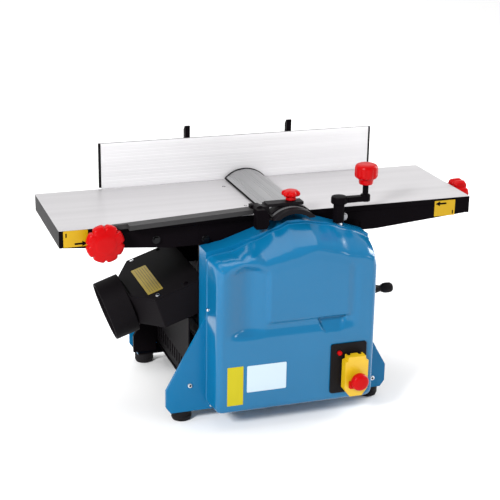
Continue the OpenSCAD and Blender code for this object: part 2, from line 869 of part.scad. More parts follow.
// flat bar from the pivot to the hinge, with a lug behind the holder and a block in front of it
module guard_arm() {
  ya = -arm_y1;
  yb = -arm_y0;
  za = table_z + 3;
  zb = table_z + 15.5;
  bx = hinge_x - lug_back;
  bar = [[arm_x - 12, za - bar_t], [bx + 2, zb - bar_t], [bx + 2, zb], [arm_x - 12, za]];
  web = [[arm_x - 13, arm_z], [arm_x + 13, arm_z], [arm_x + 13, za - 2], [arm_x - 12, za - 2]];
  block = [[bx, table_z - 12], [bx + 18, table_z - 12], [bx + 22, table_z - 5],
    [bx + 22, table_z + 12], [bx + 15, table_z + 21], [bx, table_z + 21]];
  color("dimgray") difference() {
    union() {
      slab(bar, ya, -yo - 1.5);
      intersection() {
        slab(bar, -bar_y, -yo - 1.5);
        box(arm_x + bar_lap, hinge_x, -bar_y - 1, -yo, table_z - 20, table_z + 40);
      }
      slab(web, ya, yb);
      ycyl(arm_x, arm_z, 13, ya, yb);
      box(bx, hinge_x + 5, -hold_y0 - 12, -hold_y0, table_z + 6, table_z + 21);
      slab(block, -hold_y1 - 16, -hold_y1 - 0.5);
      ycyl(hinge_x, hinge_z, 4, -hold_y1 - 2, -hold_y0 - 2);
    }
    ycyl(arm_x, arm_z, 5 + run, ya - 1, yb + 1);
  }
}

module guard_holder() {
  hx = cutter_x - guard_half;
  color("dimgray") difference() {
    union() {
      box(hx - 4, hx + 60, -hold_y1, -hold_y0 - 8, hold_z, hold_z + 5);
      arch(-hold_y1, -hold_y0 - 8, guard_rad + 2.4, 1.8);
      box(hx - 4, hx - 0.5, -hold_y1, -hold_y0, table_z - 3, hold_z + 1);
      box(hx - 4, hx + 5, -hold_y1, -hold_y0, table_z - 3, table_z + 1);
      box(hinge_x, hx - 3, -hold_y1, -hold_y0 - 12.5, hinge_z - 6, hinge_z + 6);
      ycyl(hinge_x, hinge_z, 8, -hold_y1, -hold_y0 - 12.5);
    }
    ycyl(hinge_x, hinge_z, 4 + run, -hold_y1 - 1, -hold_y0 - 12);
    zcyl(cutter_x + 4, -hold_y0 - 14, 4 + run, hold_z - 1, hold_z + 6);
    box(hx - 0.4, cutter_x + guard_half + 1, -hold_y1 - 1, -hold_y0, guard_z - 0.5, guard_z + 5);
  }
}

module guard_clamp_knob() {
  color("red") translate([cutter_x + 4, -hold_y0 - 14, hold_z]) union() {
    translate([0, 0, -0.4]) cylinder(r = 4, h = 9);
    translate([0, 0, 5.3]) cylinder(r = 9, h = 8);
    translate([0, 0, 12]) star(16, 9, 6);
    translate([0, 0, 20]) cylinder(r1 = 12, r2 = 8, h = 3);
  }
}

module guard_pivot_knob() {
  color("red") translate([arm_x, -arm_y1 - 0.2, arm_z]) rotate([90, 0, 0]) union() {
    star(32, 17, 8);
    translate([0, 0, 16]) cylinder(r1 = 20, r2 = 17, h = 4);
    translate([0, 0, -plate_t - 20]) cylinder(r = 5, h = plate_t + 21);
  }
}

// dust chute

module chute_frame() {
  translate([mouth_x, 0, mouth_z]) rotate([0, -chute_tilt, 0]) children();
}

module hood_plan(w, start) {
  polygon([[start, -hood_half + w], [start, hood_half - w], [-hood_w0, hood_half - w],
    [-hood_w1 + w, neck_half - w], [-hood_w1 + w, -neck_half + w], [-hood_w0, -hood_half + w]]);
}

module port_cyl(r, ua, ub) {
  translate([-ub, 0, -hood_t/2]) rotate([0, 90, 0]) cylinder(r = r, h = ub - ua);
}

module chute_hood() {
  end = hood_w1 + port_len - 4;
  color("black") chute_frame() difference() {
    union() {
      translate([0, 0, -hood_t]) linear_extrude(hood_t) hood_plan(0, 0);
      port_cyl(port_r, hood_w1, end);
    }
    difference() {
      translate([0, 0, -hood_t + 3]) linear_extrude(hood_t) hood_plan(3, 1);
      box(-hood_w1 - 5, -hood_w1 + hood_lap, -hood_half, hood_half, -3, 5);
    }
    translate([-hood_w1 - 5, -neck_half + 6, -hood_t + 3])
      cube([hood_lap + 11, 2*neck_half - hood_lap, hood_t - 6]);
    port_cyl(port_r - 3.5, hood_w1 + 4, end + 1);
    rotate([0, chute_tilt, 0]) box(0, 2*hood_t, -yo, yo, -2*hood_t, hood_t);
  }
}

module chute_lid() {
  color("black") chute_frame() difference() {
    linear_extrude(3) hood_plan(0, 0);
    box(-hood_w1 - 1, -hood_w1 + 5, -hood_half, hood_half, -1, 5);
  }
}

module chute_screws() {
  color("silver") chute_frame() {
    for (u = [-hood_w0 + screw_in - 2, -hood_w0/3], s = [-1, 1])
      translate([u, s*(hood_half - screw_in), 3]) cylinder(r = 4, h = 2);
  }
}

// switch

module switch_plate() {
  color("black") difference() {
    box(72, sw_x + 25, -plate_y, -yc, sw_z - 36, flap_top + 18);
    box(sw_x - base_half, sw_x + base_half, -plate_y - 1, -yc + 1, base_low, base_up);
    ycyl(87, flap_top + 2, 4 + slide_gap, -plate_y - 1, -yc + 1);
  }
}

module switch_base() {
  color("black") difference() {
    union() {
      box(sw_x - base_half + run, sw_x + base_half - run, -plate_y - 10, -yc + wall,
        base_low + run, base_up - run);
      for (s = [-1, 1]) box(sw_x + s*10 - 3, sw_x + s*10 + 3, -flap_pin_y, -plate_y,
        base_up - 4, flap_pin_z + 2);
      for (s = [-1, 1]) xcyl(-flap_pin_y, flap_pin_z, 2.2, sw_x + s*10 - 3, sw_x + s*10 + 3);
    }
    xcyl(-flap_pin_y, flap_pin_z, 1.2 + run, sw_x - 14, sw_x + 14);
    ycyl(sw_x, paddle_z, 6 + slide_gap, -plate_y - 11, -yc + 1);
    ycyl(sw_x, start_z, 6 + slide_gap, -plate_y - 11, -yc + 1);
  }
}

module stop_button() {
  color("red") ycyl(sw_x, paddle_z, 6, -plate_y - 13, -yc - 4);
}

module start_button() {
  color("green") ycyl(sw_x, start_z, 6, -plate_y - 13, -yc - 4);
}

module reset_button() {
  color("salmon") ycyl(87, flap_top + 2, 4, -plate_y - 3.5, -yc + 4);
}

// outline of the flap: hinge hump, body and tongue
function flap_side(w) = [[tongue_half - w, w], [flap_w/2 - w, 13 + w*0.6], [flap_w/2 - w, flap_h - 9 - w],
  [hump_half - w, flap_h - 7 - w], [hump_half - w, flap_h - w]];
function flap_face(w) = concat([for (p = flap_side(w)) [sw_x + p[0], flap_top - flap_h + p[1]]],
  [for (i = [4:-1:0]) [sw_x - flap_side(w)[i][0], flap_top - flap_h + flap_side(w)[i][1]]]);

module switch_flap() {
  color("gold") union() {
    difference() {
      slab(flap_face(0), -flap_y - flap_t, -flap_y);
      slab(flap_face(flap_wall), -flap_y - flap_t + flap_wall, -flap_y + 1);
      ycyl(sw_x, paddle_z, 4 + slide_gap, -flap_y - flap_t - 1, -flap_y);
      for (s = [-1, 1]) box(sw_x + s*10 - 3.6, sw_x + s*10 + 3.6, -flap_pin_y - 4, -flap_y + 1,
        flap_top - 3, flap_top + 1);
    }
    xcyl(-flap_pin_y, flap_pin_z, 1.2, sw_x - hump_half + 1, sw_x + hump_half - 1);
  }
}

module stop_paddle() {
  color("red") translate([sw_x, -flap_y - flap_t, paddle_z]) rotate([90, 0, 0]) union() {
    translate([0, 0, -flap_wall]) cylinder(r = 4, h = flap_wall + 11);
    box(-16, 2, -14, -1.5, 4, 11);
    translate([0, 0, 10]) cylinder(r = 15, h = 10);
    translate([0, 0, 20]) cylinder(r1 = 15, r2 = 12, h = paddle_out - 20);
  }
}

placed() outfeed_table();
placed() outfeed_rails();
placed() rail_bolts();
placed() infeed_table();
placed() infeed_rails();
placed() infeed_bolts();
placed() depth_nut_bar();
placed() depth_knob();
placed() front_bearing_plate();
placed() rear_bearing_plate();
placed() bottom_plate();
placed() vent_panel();
placed() front_side_frame();
placed() rear_side_frame();
placed() cord_gland();
placed() leg_screws();
placed() rubber_feet();
placed() front_cover();
placed() cutter_block();
placed() planer_knives();
placed() knife_gibs();
placed() shaft_bearings();
placed() cutter_pulley();
placed() motor_pulley();
placed() motor_housing();
placed() drive_belt();
placed() infeed_roller();
placed() outfeed_roller();
placed() feed_sprocket();
placed() feed_gearbox();
placed() feed_chain();
placed() pawl_rod();
placed() kickback_pawls();
placed() thickness_table();
placed() lift_nut();
placed() lift_screw();
placed() crank_arm();
placed() crank_knob();
placed() height_lock_knob();
placed() fence_plate();
placed() fence_end_caps();
placed() fence_posts();
placed() fence_brackets();
placed() fence_pins();
placed() guard();
placed() guard_end_caps();
placed() guard_arm();
placed() guard_holder();
placed() guard_clamp_knob();
placed() guard_pivot_knob();
placed() chute_hood();
placed() chute_lid();
placed() chute_screws();
placed() switch_plate();
placed() switch_base();
placed() stop_button();
placed() start_button();
placed() reset_button();
placed() switch_flap();
placed() stop_paddle();
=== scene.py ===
import json
import math

import bmesh
import bpy
from mathutils import Matrix, Vector


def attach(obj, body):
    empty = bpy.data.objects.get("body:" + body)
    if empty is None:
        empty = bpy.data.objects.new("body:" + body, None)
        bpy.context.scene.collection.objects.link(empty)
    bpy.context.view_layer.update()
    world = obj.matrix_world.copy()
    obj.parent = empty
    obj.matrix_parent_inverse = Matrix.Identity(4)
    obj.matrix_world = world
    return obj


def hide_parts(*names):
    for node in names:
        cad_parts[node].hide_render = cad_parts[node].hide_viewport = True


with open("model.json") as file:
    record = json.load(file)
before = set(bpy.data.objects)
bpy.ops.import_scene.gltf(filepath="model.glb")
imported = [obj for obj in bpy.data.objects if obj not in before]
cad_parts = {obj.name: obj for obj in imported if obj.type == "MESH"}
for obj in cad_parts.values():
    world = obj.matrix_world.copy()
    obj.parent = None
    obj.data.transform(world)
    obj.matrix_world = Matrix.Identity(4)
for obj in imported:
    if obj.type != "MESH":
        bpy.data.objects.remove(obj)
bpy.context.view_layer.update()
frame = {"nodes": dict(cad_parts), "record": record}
nodes = frame["nodes"]
bodyOf = {n: b for b, group in frame["record"]["behaviour"]["bodies"].items() for n in group}
slotOf = {s["node"]: s["material_slot"] for s in frame["record"]["subparts"]}
print("frame loaded:", len(nodes), "nodes")

mm = 0.001
middle = Vector((-14.5, 44.25, 0))  # from the middle of the tables to the frame's origin


def at(x, y, z):
    return (Vector((x, y, z)) + middle) * mm


# camera, fitted to the table corners in the photograph
cameraSet = dict(
    place=(-0.74114, -2.04572, 1.00366),
    right=(0.94693, -0.32105, 0.01601),
    up=(0.08956, 0.31131, 0.94608),
    look=(0.30872, 0.89443, -0.32354),
    lens=93.94,
)


def addCamera(s):
    data = bpy.data.cameras.new("photoCamera")
    data.sensor_width = 36
    data.lens = s["lens"]
    data.clip_end = 60
    cam = bpy.data.objects.new("photoCamera", data)
    bpy.context.collection.objects.link(cam)
    turn = Matrix((s["right"], s["up"], -Vector(s["look"]))).transposed().to_4x4()
    cam.matrix_world = Matrix.Translation(s["place"]) @ turn
    bpy.context.scene.camera = cam


addCamera(cameraSet)

# studio: pale floor, soft boxes and an even white surround
studioSet = dict(
    floorSize=26,
    floorColour=(0.92, 0.92, 0.92),
    floorRough=0.9,
    floorShine=0.1,
    surround=(1.0, 1.0, 1.0),
    surroundPower=0.55,
    tone="Standard",
    boxes=[
        # name, place, aim, width, height, watts
        ("keyBox", (-2.9, -2.2, 2.3), (0, 0, 0.2), 0.9, 0.9, 180),
        ("topBox", (0.2, 0.6, 3.6), (0, 0, 0.3), 3.0, 2.4, 40),
        ("fillBox", (2.4, -2.6, 1.3), (0, 0, 0.2), 0.6, 0.6, 12),
        ("backBox", (0.4, 5.0, 4.2), (0.6, 4.6, 0), 12.0, 5.0, 210),
        ("sideBox", (2.6, 0.5, 1.2), (0.8, 0.3, 0), 1.4, 1.4, 72),
    ],
)


def softBox(name, place, aim, width, height, watts):
    data = bpy.data.lights.new(name, "AREA")
    data.shape = "RECTANGLE"
    data.size = width
    data.size_y = height
    data.energy = watts
    lamp = bpy.data.objects.new(name, data)
    bpy.context.collection.objects.link(lamp)
    lamp.location = place
    lamp.rotation_euler = (Vector(aim) - Vector(place)).to_track_quat("-Z", "Y").to_euler()


def addStudio(s):
    bm = bmesh.new()
    bmesh.ops.create_grid(bm, x_segments=4, y_segments=4, size=s["floorSize"] / 2)
    mesh = bpy.data.meshes.new("floor")
    bm.to_mesh(mesh)
    bm.free()
    floor = bpy.data.objects.new("floor", mesh)
    bpy.context.collection.objects.link(floor)
    paper = bpy.data.materials.new("floorPaper")
    paper.use_nodes = True
    shader = paper.node_tree.nodes["Principled BSDF"]
    shader.inputs["Base Color"].default_value = (*s["floorColour"], 1)
    shader.inputs["Roughness"].default_value = s["floorRough"]
    shader.inputs["Specular IOR Level"].default_value = s["floorShine"]
    mesh.materials.append(paper)
    world = bpy.data.worlds.new("surround")
    world.use_nodes = True
    back = world.node_tree.nodes["Background"]
    back.inputs["Color"].default_value = (*s["surround"], 1)
    back.inputs["Strength"].default_value = s["surroundPower"]
    bpy.context.scene.world = world
    bpy.context.scene.view_settings.view_transform = s["tone"]
    for box in s["boxes"]:
        softBox(*box)


addStudio(studioSet)
print("studio set")


# finishes: one colour, with a cloud of shade, a grain in the gloss and a fine relief
def finish(name, colour, rough, metal=0.0, coat=0.0, shade=0.06, cloud=9, gloss=0.05,
           grain=600, stretch=(1, 1, 1), relief=0.05, depth=0.0002, shine=0.5, ior=1.5):
    mat = bpy.data.materials.new(name)
    mat.use_nodes = True
    tree = mat.node_tree
    make = tree.nodes.new
    link = tree.links.new
    shader = tree.nodes["Principled BSDF"]
    shader.inputs["Metallic"].default_value = metal
    shader.inputs["Specular IOR Level"].default_value = shine
    shader.inputs["IOR"].default_value = ior
    shader.inputs["Coat Weight"].default_value = coat
    shader.inputs["Coat Roughness"].default_value = 0.08
    coords = make("ShaderNodeTexCoord")
    turn = make("ShaderNodeMapping")
    turn.inputs["Scale"].default_value = stretch
    link(coords.outputs["Object"], turn.inputs["Vector"])
    fine = make("ShaderNodeTexNoise")
    fine.inputs["Scale"].default_value = grain
    fine.inputs["Detail"].default_value = 3
    link(turn.outputs["Vector"], fine.inputs["Vector"])
    broad = make("ShaderNodeTexNoise")
    broad.inputs["Scale"].default_value = cloud
    broad.inputs["Detail"].default_value = 5
    link(turn.outputs["Vector"], broad.inputs["Vector"])
    tint = make("ShaderNodeValToRGB")
    tint.color_ramp.elements[0].position = 0.3
    tint.color_ramp.elements[1].position = 0.7
    tint.color_ramp.elements[0].color = (*[c * (1 - shade) for c in colour], 1)
    tint.color_ramp.elements[1].color = (*[min(1, c * (1 + shade)) for c in colour], 1)
    link(broad.outputs["Fac"], tint.inputs["Fac"])
    link(tint.outputs["Color"], shader.inputs["Base Color"])
    sheen = make("ShaderNodeMapRange")
    sheen.inputs["To Min"].default_value = max(0.03, rough - gloss)
    sheen.inputs["To Max"].default_value = rough + gloss
    link(fine.outputs["Fac"], sheen.inputs["Value"])
    link(sheen.outputs["Result"], shader.inputs["Roughness"])
    bump = make("ShaderNodeBump")
    bump.inputs["Strength"].default_value = relief
    bump.inputs["Distance"].default_value = depth
    link(fine.outputs["Fac"], bump.inputs["Height"])
    link(bump.outputs["Normal"], shader.inputs["Normal"])
    return mat


tableTop = finish("tableTop", (0.43, 0.42, 0.43), 0.4, metal=0.3, shade=0.06, cloud=40, gloss=0.08,
                  grain=900, stretch=(0.02, 1, 1), relief=0.14, shine=0.2)
extruded = finish("extrudedAluminium", (0.87, 0.865, 0.88), 0.42, metal=0.5, shade=0.05, cloud=60,
                  gloss=0.06, grain=900, stretch=(0.02, 1, 1), relief=0.1, shine=0.3)
bluePlastic = finish("bluePlastic", (0.002, 0.118, 0.262), 0.15, shade=0.04, cloud=6, gloss=0.04,
                     grain=420, relief=0.03, depth=0.0003, shine=0.4)
bluePaint = finish("bluePaint", (0.002, 0.13, 0.29), 0.2, shade=0.05, cloud=7, gloss=0.05, grain=650,
                   relief=0.06, ior=1.28)
blackPaint = finish("blackPaint", (0.0035, 0.0026, 0.0034), 0.32, shade=0.15, gloss=0.06, grain=500,
                    relief=0.1, ior=1.06)
blackPlastic = finish("blackPlastic", (0.005, 0.004, 0.005), 0.5, shade=0.15, gloss=0.06,
                      grain=900, relief=0.22, ior=1.2)
chuteBlack = finish("chuteBlack", (0.006, 0.005, 0.006), 0.55, shade=0.15, gloss=0.06, grain=900,
                    relief=0.22, ior=1.12)
greyPlastic = finish("greyPlastic", (0.028, 0.027, 0.028), 0.46, shade=0.12, gloss=0.06, grain=900,
                     relief=0.2, ior=1.25)
redPlastic = finish("redPlastic", (0.4, 0.0, 0.001), 0.3, shine=0.12, shade=0.06, gloss=0.05,
                    grain=500, relief=0.05)
yellowPlastic = finish("yellowPlastic", (0.6, 0.38, 0.005), 0.36, coat=0.15, shade=0.06,
                       gloss=0.05, grain=500, relief=0.06)
greenPlastic = finish("greenPlastic", (0.03, 0.34, 0.09), 0.35, shade=0.06, grain=500)
zincSteel = finish("zincSteel", (0.66, 0.67, 0.69), 0.28, metal=1, shade=0.08, cloud=90, gloss=0.08,
                   grain=700, relief=0.06)
machinedSteel = finish("machinedSteel", (0.3, 0.3, 0.31), 0.3, metal=1, shade=0.1, cloud=60,
                       gloss=0.08, grain=900, relief=0.1)
motorGrey = finish("motorGrey", (0.16, 0.165, 0.17), 0.45, shade=0.1, grain=400, relief=0.15)
brass = finish("turnedBrass", (0.72, 0.5, 0.2), 0.28, metal=1, shade=0.08, cloud=80, grain=900)
rubber = finish("blackRubber", (0.006, 0.005, 0.006), 0.62, shade=0.2, grain=700, relief=0.25, shine=0.15)

# painted shade: a dark grey for the fence's top face, giving the dark line along its top edge
fenceTopShade = finish("paintedTopShade", (0.09, 0.09, 0.095), 0.45, metal=0.4, shade=0.08, cloud=70, gloss=0.06,
                  grain=800, relief=0.1)
extrudedY = finish("extrudedAlongY", (0.24, 0.24, 0.245), 0.34, metal=0.5, shade=0.05, cloud=60,
                   gloss=0.06, grain=900, stretch=(1, 0.02, 1), relief=0.1, shine=0.3)
blackSteel = finish("blackenedSteel", (0.016, 0.016, 0.017), 0.26, metal=1, shade=0.1, cloud=80,
                    grain=700, relief=0.06)
arrowYellow = finish("printedYellow", (0.45, 0.27, 0.001), 0.4, shine=0.25, shade=0.04, grain=300,
                     relief=0.03)
plateYellow = finish("plateYellow", (0.43, 0.37, 0.002), 0.4, shine=0.25, shade=0.04, grain=300,
                     relief=0.03)
paleLabel = finish("paleLabel", (0.46, 0.56, 0.63), 0.4, shade=0.03, grain=300, relief=0.03)
goldInk = finish("goldInk", (0.16, 0.12, 0.03), 0.45, shade=0.05, cloud=50, grain=700)
goldPlate = finish("goldPlate", (0.5, 0.37, 0.05), 0.38, metal=0.5, shade=0.06, cloud=50, grain=700)

finishOf = {
    "table_aluminium": tableTop, "black_paint": blackPaint, "blue_paint": bluePaint,
    "blue_plastic": bluePlastic, "red_plastic": redPlastic, "black_plastic": blackPlastic,
    "yellow_plastic": yellowPlastic, "green_plastic": greenPlastic, "grey_metal": greyPlastic,
    "steel": zincSteel, "motor_grey": motorGrey, "brass": brass, "black_rubber": rubber,
}
for name, obj in nodes.items():
    obj.data.materials.clear()
    obj.data.materials.append(finishOf[slotOf[name]])
print("finishes on", len(nodes), "nodes")


def addPiece(bm, name, mats, *replaced, body=None, smooth=35):
    mesh = bpy.data.meshes.new(name)
    bm.to_mesh(mesh)
    bm.free()
    for mat in mats:
        mesh.materials.append(mat)
    mesh.shade_smooth()
    mesh.set_sharp_from_angle(angle=math.radians(smooth))
    obj = bpy.data.objects.new(name, mesh)
    bpy.context.collection.objects.link(obj)
    even = obj.modifiers.new("evenNormals", "WEIGHTED_NORMAL")
    even.keep_sharp = True
    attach(obj, body or bodyOf[replaced[0]])
    if replaced:
        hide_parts(*replaced)
    return obj


# a copy of a node's mesh with its triangles merged
def mergedCopy(node):
    bm = bmesh.new()
    bm.from_mesh(nodes[node].data)
    bmesh.ops.remove_doubles(bm, verts=bm.verts, dist=2e-5)
    bmesh.ops.dissolve_limit(bm, angle_limit=0.01, verts=bm.verts, edges=bm.edges)
    return bm


sharpFrom = 0.45  # edges that bend more than this, in radians, are eased


def easeEdges(bm, ease):
    sharp = [e for e in bm.edges if len(e.link_faces) == 2 and e.calc_face_angle(0) > sharpFrom]
    bmesh.ops.bevel(bm, geom=sharp, offset=ease * mm, offset_type="OFFSET", segments=2,
                    profile=0.5, affect="EDGES", clamp_overlap=True, material=-1)
    return bm


def joinInto(bm, part):
    mesh = bpy.data.meshes.new("part")
    part.to_mesh(mesh)
    part.free()
    bm.from_mesh(mesh)
    bpy.data.meshes.remove(mesh)


# a piece that was made on Z, stood on a base along an axis
def standOn(bm, base, axis):
    turn = Vector((0, 0, 1)).rotation_difference(Vector(axis)).to_matrix().to_4x4()
    bmesh.ops.transform(bm, matrix=Matrix.Translation(base) @ turn, verts=bm.verts)
    return bm


# a profile of (radius, height) in mm, spun about Z into a closed turning
def turning(profile, sides):
    bm = bmesh.new()
    verts = [bm.verts.new((r * mm, 0, h * mm)) for r, h in profile]
    edges = [bm.edges.new(pair) for pair in zip(verts, verts[1:])]
    bmesh.ops.spin(bm, geom=verts + edges, cent=(0, 0, 0), axis=(0, 0, 1), angle=2 * math.pi,
                   steps=sides, use_merge=True)
    bmesh.ops.remove_doubles(bm, verts=bm.verts, dist=1e-6)
    bmesh.ops.recalc_face_normals(bm, faces=bm.faces)
    return bm


# a smooth step from 0 to 1 between two values
def ramp(value, low, high):
    t = min(1, max(0, (value - low) / (high - low)))
    return t * t * (3 - 2 * t)


# finger hollows round a turning: full depth at the outer radius, none inside the inner one
def scallop(bm, count, depth, inner, outer, narrow=1, low=-999, high=999, fade=3):
    for v in bm.verts:
        r = v.co.xy.length / mm
        if r <= inner:
            continue
        h = v.co.z / mm
        wave = (0.5 + 0.5 * math.cos(count * math.atan2(v.co.y, v.co.x))) ** narrow
        share = ramp(r, inner, outer) * ramp(h, low - fade, low) * ramp(-h, -high - fade, -high)
        v.co.xy *= 1 - depth * wave * share / r
    return bm


# a flat outline in mm, raised along a direction, with its corners rounded and its rim eased
def raised(points, rise, corner=0, ease=0):
    bm = bmesh.new()
    bm.faces.new([bm.verts.new(Vector(p) * mm) for p in points])
    if corner:
        bmesh.ops.bevel(bm, geom=bm.verts[:], offset=corner * mm, offset_type="OFFSET",
                        segments=4, profile=0.5, affect="VERTICES", material=-1)
    faces = bm.faces[:]
    out = bmesh.ops.extrude_face_region(bm, geom=faces)["geom"]
    top = [g for g in out if isinstance(g, bmesh.types.BMVert)]
    bmesh.ops.translate(bm, vec=Vector(rise) * mm, verts=top)
    bmesh.ops.recalc_face_normals(bm, faces=bm.faces)
    if ease:
        rim = [e for e in bm.edges if e.calc_face_angle(0) > 1.0 and all(v in top for v in e.verts)]
        bmesh.ops.bevel(bm, geom=rim, offset=ease * mm, offset_type="OFFSET", segments=2,
                        profile=0.5, affect="EDGES", clamp_overlap=True, material=-1)
    return bm


# from the middle of the tables to the frame's origin
def shifted(bm):
    bmesh.ops.translate(bm, vec=middle * mm, verts=bm.verts)
    return bm


# tables: painted castings with bare machined tops
tableSet = dict(ease=0.8, topFrom=349.0)


def addTable(node, name, s):
    bm = easeEdges(mergedCopy(node), s["ease"])
    for f in bm.faces:
        f.material_index = 0 if f.calc_center_median().z > s["topFrom"] * mm else 1
    addPiece(bm, name, [tableTop, blackPaint], node)


addTable("outfeed_table", "OutfeedTable", tableSet)
addTable("infeed_table", "InfeedTable", tableSet)
print("tables done")

# front cover: a gridded moulding, swept back from its face to its rim
coverSet = dict(
    face=dict(left=-119, right=143, bottom=42, corner=15,
              top=[(-119, 285), (-104, 293), (-84, 299), (-64, 296), (-44, 290), (-20, 294),
                   (0, 298), (42, 309), (80, 300), (102, 292), (124, 288), (143, 285)]),
    rim=dict(left=-132, right=156, bottom=30, corner=11,
             top=[(-132, 298), (-92, 303), (-50, 318), (-10, 333), (10, 341), (38, 341),
                  (78, 334), (120, 321), (156, 307)]),
    faceY=-205, rimY=-153.6, columns=150, rows=140, wall=2.6,
    fillet=12, draft=0.15, arcRings=8, backRings=4,
    crest=12, crestY=-190, crestShare=0.2, topFrom=(0.87, 0.99), topPower=1.3,
    bead=dict(grow=1 + 1.3 / 150, centre=(12, 168), y=(-153, -148.1)),
    recess=dict(depth=12, left=(-118, -74), rise=(-72, -40), level=0.35, right=(100, 126),
                low=(162, 180)),
    panel=dict(rise=0.8, left=(-46, -37), right=(98, 118), low=(184, 194)),
    topFade=(2, 18),
    pocket=dict(deep=7.5, shallow=1.2, left=(49, 60), right=(98, 90), soft=(1.2, 5),
                bottom=163, low=(162, 164), top=187, high=(186.5, 188.5)),
    switchHole=((97, 127), (60, 108)), lampHole=(87, 122.5, 4.6), holesAhead=-203,
)


# the height of a top line at x, eased a little between its points
def along(points, x):
    for (xa, za), (xb, zb) in zip(points, points[1:]):
        if x <= xb:
            t = (x - xa) / (xb - xa)
            return za + (zb - za) * (t * t * (3 - 2 * t) * 0.6 + t * 0.4)
    return points[-1][1]


# how far the face stands proud of its plane: a recess, a panel inside it and a finger pocket
def coverRelief(s, x, z):
    r, p, k = s["recess"], s["panel"], s["pocket"]
    dip = r["depth"] * ramp(x, *r["left"]) * (1 - (1 - r["level"]) * ramp(x, *r["rise"]))
    dip *= (1 - ramp(x, *r["right"])) * ramp(z, *r["low"])
    panel = ramp(x, *p["left"]) * (1 - ramp(x, *p["right"])) * ramp(z, *p["low"])
    crown = along(s["face"]["top"], min(max(x, s["face"]["left"]), s["face"]["right"]))
    out = (panel * (dip + p["rise"]) - dip) * ramp(crown - z, *s["topFade"])
    t = (z - k["bottom"]) / (k["top"] - k["bottom"])
    left = k["left"][1] + (k["left"][0] - k["left"][1]) * t
    right = k["right"][1] + (k["right"][0] - k["right"][1]) * t
    softLeft, softRight = k["soft"]
    hole = ramp(x, left - softLeft, left + softLeft)
    hole *= 1 - ramp(x, right - softRight, right + softRight)
    hole *= ramp(z, *k["low"]) * (1 - ramp(z, *k["high"]))
    return out - hole * (k["shallow"] + (k["deep"] - k["shallow"]) * max(0, t))


# a point of an outline whose four corners are rounded
def outlinePoint(edge, u, v):
    x = edge["left"] + (edge["right"] - edge["left"]) * u
    z = edge["bottom"] + (along(edge["top"], x) - edge["bottom"]) * v
    r = edge["corner"]
    side = min(max(x, edge["left"] + r), edge["right"] - r)
    level = min(max(z, edge["bottom"] + r), along(edge["top"], side) - r)
    a = x - side
    b = min(max(z - level, -r), r)
    if a and b:
        x = side + a * math.sqrt(1 - b * b / (2 * r * r))
        z = level + b * math.sqrt(1 - a * a / (2 * r * r))
    return x, z


# how far a ring has left the face: share of the way left and depth, round the sides
def sideSweep(s, ring):
    if ring <= s["arcRings"]:
        angle = math.pi / 2 * ring / s["arcRings"]
        return 1 - (1 - s["draft"]) * math.sin(angle), s["faceY"] + s["fillet"] * (1 - math.cos(angle))
    t = (ring - s["arcRings"]) / s["backRings"]
    start = s["faceY"] + s["fillet"]
    return s["draft"] * (1 - t), start + (s["rimY"] - start) * t


# depth and height of a ring over the top, along a curve from the face to the rim
def topSweep(s, t, low, high):
    rise = min(s["crest"], max(0, high - low))
    hold = low + rise + (high - low - rise) * s["crestShare"]
    heights = (low, low + 0.8 * rise, hold, high)
    depths = (s["faceY"], s["faceY"], s["crestY"], s["rimY"])
    weights = ((1 - t) ** 3, 3 * t * (1 - t) ** 2, 3 * t * t * (1 - t), t ** 3)
    y = sum(w * d for w, d in zip(weights, depths))
    return y, sum(w * h for w, h in zip(weights, heights))


# the place of a vertex of the moulding, by its ring and its share of the width and height
def coverRing(s, ring, u, v):
    last = s["arcRings"] + s["backRings"]
    step = min(ring, last)
    fx, fz = outlinePoint(s["face"], u, v)
    bx, bz = outlinePoint(s["rim"], u, v)
    top = ramp(v, *s["topFrom"])
    sideShare, sideY = sideSweep(s, step)
    topY, topZ = topSweep(s, step / last, fz, bz)
    share = sideShare * (1 - top) + (1 - step / last) ** s["topPower"] * top
    x = bx + (fx - bx) * share
    y = sideY * (1 - top) + topY * top
    z = (bz + (fz - bz) * sideShare) * (1 - top) + topZ * top
    if ring > last:
        bead = s["bead"]
        cx, cz = bead["centre"]
        x = cx + (x - cx) * bead["grow"]
        z = cz + (z - cz) * bead["grow"]
        y = bead["y"][ring - last - 1]
    return at(x, y - coverRelief(s, fx, fz) * share * share, z)


def addCover(s):
    bm = bmesh.new()
    bmesh.ops.create_grid(bm, x_segments=s["columns"], y_segments=s["rows"], size=1)
    place = bm.verts.layers.float_vector.new("place")  # u and v of each vertex
    for vert in bm.verts:
        u, v = vert.co.x * 0.5 + 0.5, vert.co.y * 0.5 + 0.5
        vert[place] = (u, v, 0)
        vert.co = coverRing(s, 0, u, v)
    rim = [e for e in bm.edges if e.is_boundary]
    for ring in range(1, s["arcRings"] + s["backRings"] + 3):
        out = bmesh.ops.extrude_edge_only(bm, edges=rim)["geom"]
        rim = [g for g in out if isinstance(g, bmesh.types.BMEdge)]
        for vert in {w for e in rim for w in e.verts}:
            vert.co = coverRing(s, ring, vert[place].x, vert[place].y)
    (xa, xb), (za, zb) = s["switchHole"]
    low, high = at(xa, 0, za), at(xb, 0, zb)
    lamp = at(s["lampHole"][0], 0, s["lampHole"][1])
    gone = []
    for f in bm.faces:
        c = f.calc_center_median()
        if c.y > at(0, s["holesAhead"], 0).y:
            continue
        inSwitch = low.x < c.x < high.x and low.z < c.z < high.z
        if inSwitch or math.hypot(c.x - lamp.x, c.z - lamp.z) < s["lampHole"][2] * mm:
            gone.append(f)
    bmesh.ops.delete(bm, geom=gone, context="FACES")
    bmesh.ops.recalc_face_normals(bm, faces=bm.faces)
    if sum(f.normal.y for f in bm.faces) > 0:
        bmesh.ops.reverse_faces(bm, faces=bm.faces)
    bmesh.ops.solidify(bm, geom=bm.faces[:], thickness=s["wall"] * mm)
    addPiece(bm, "FrontCover", [bluePlastic], "front_cover", smooth=40)


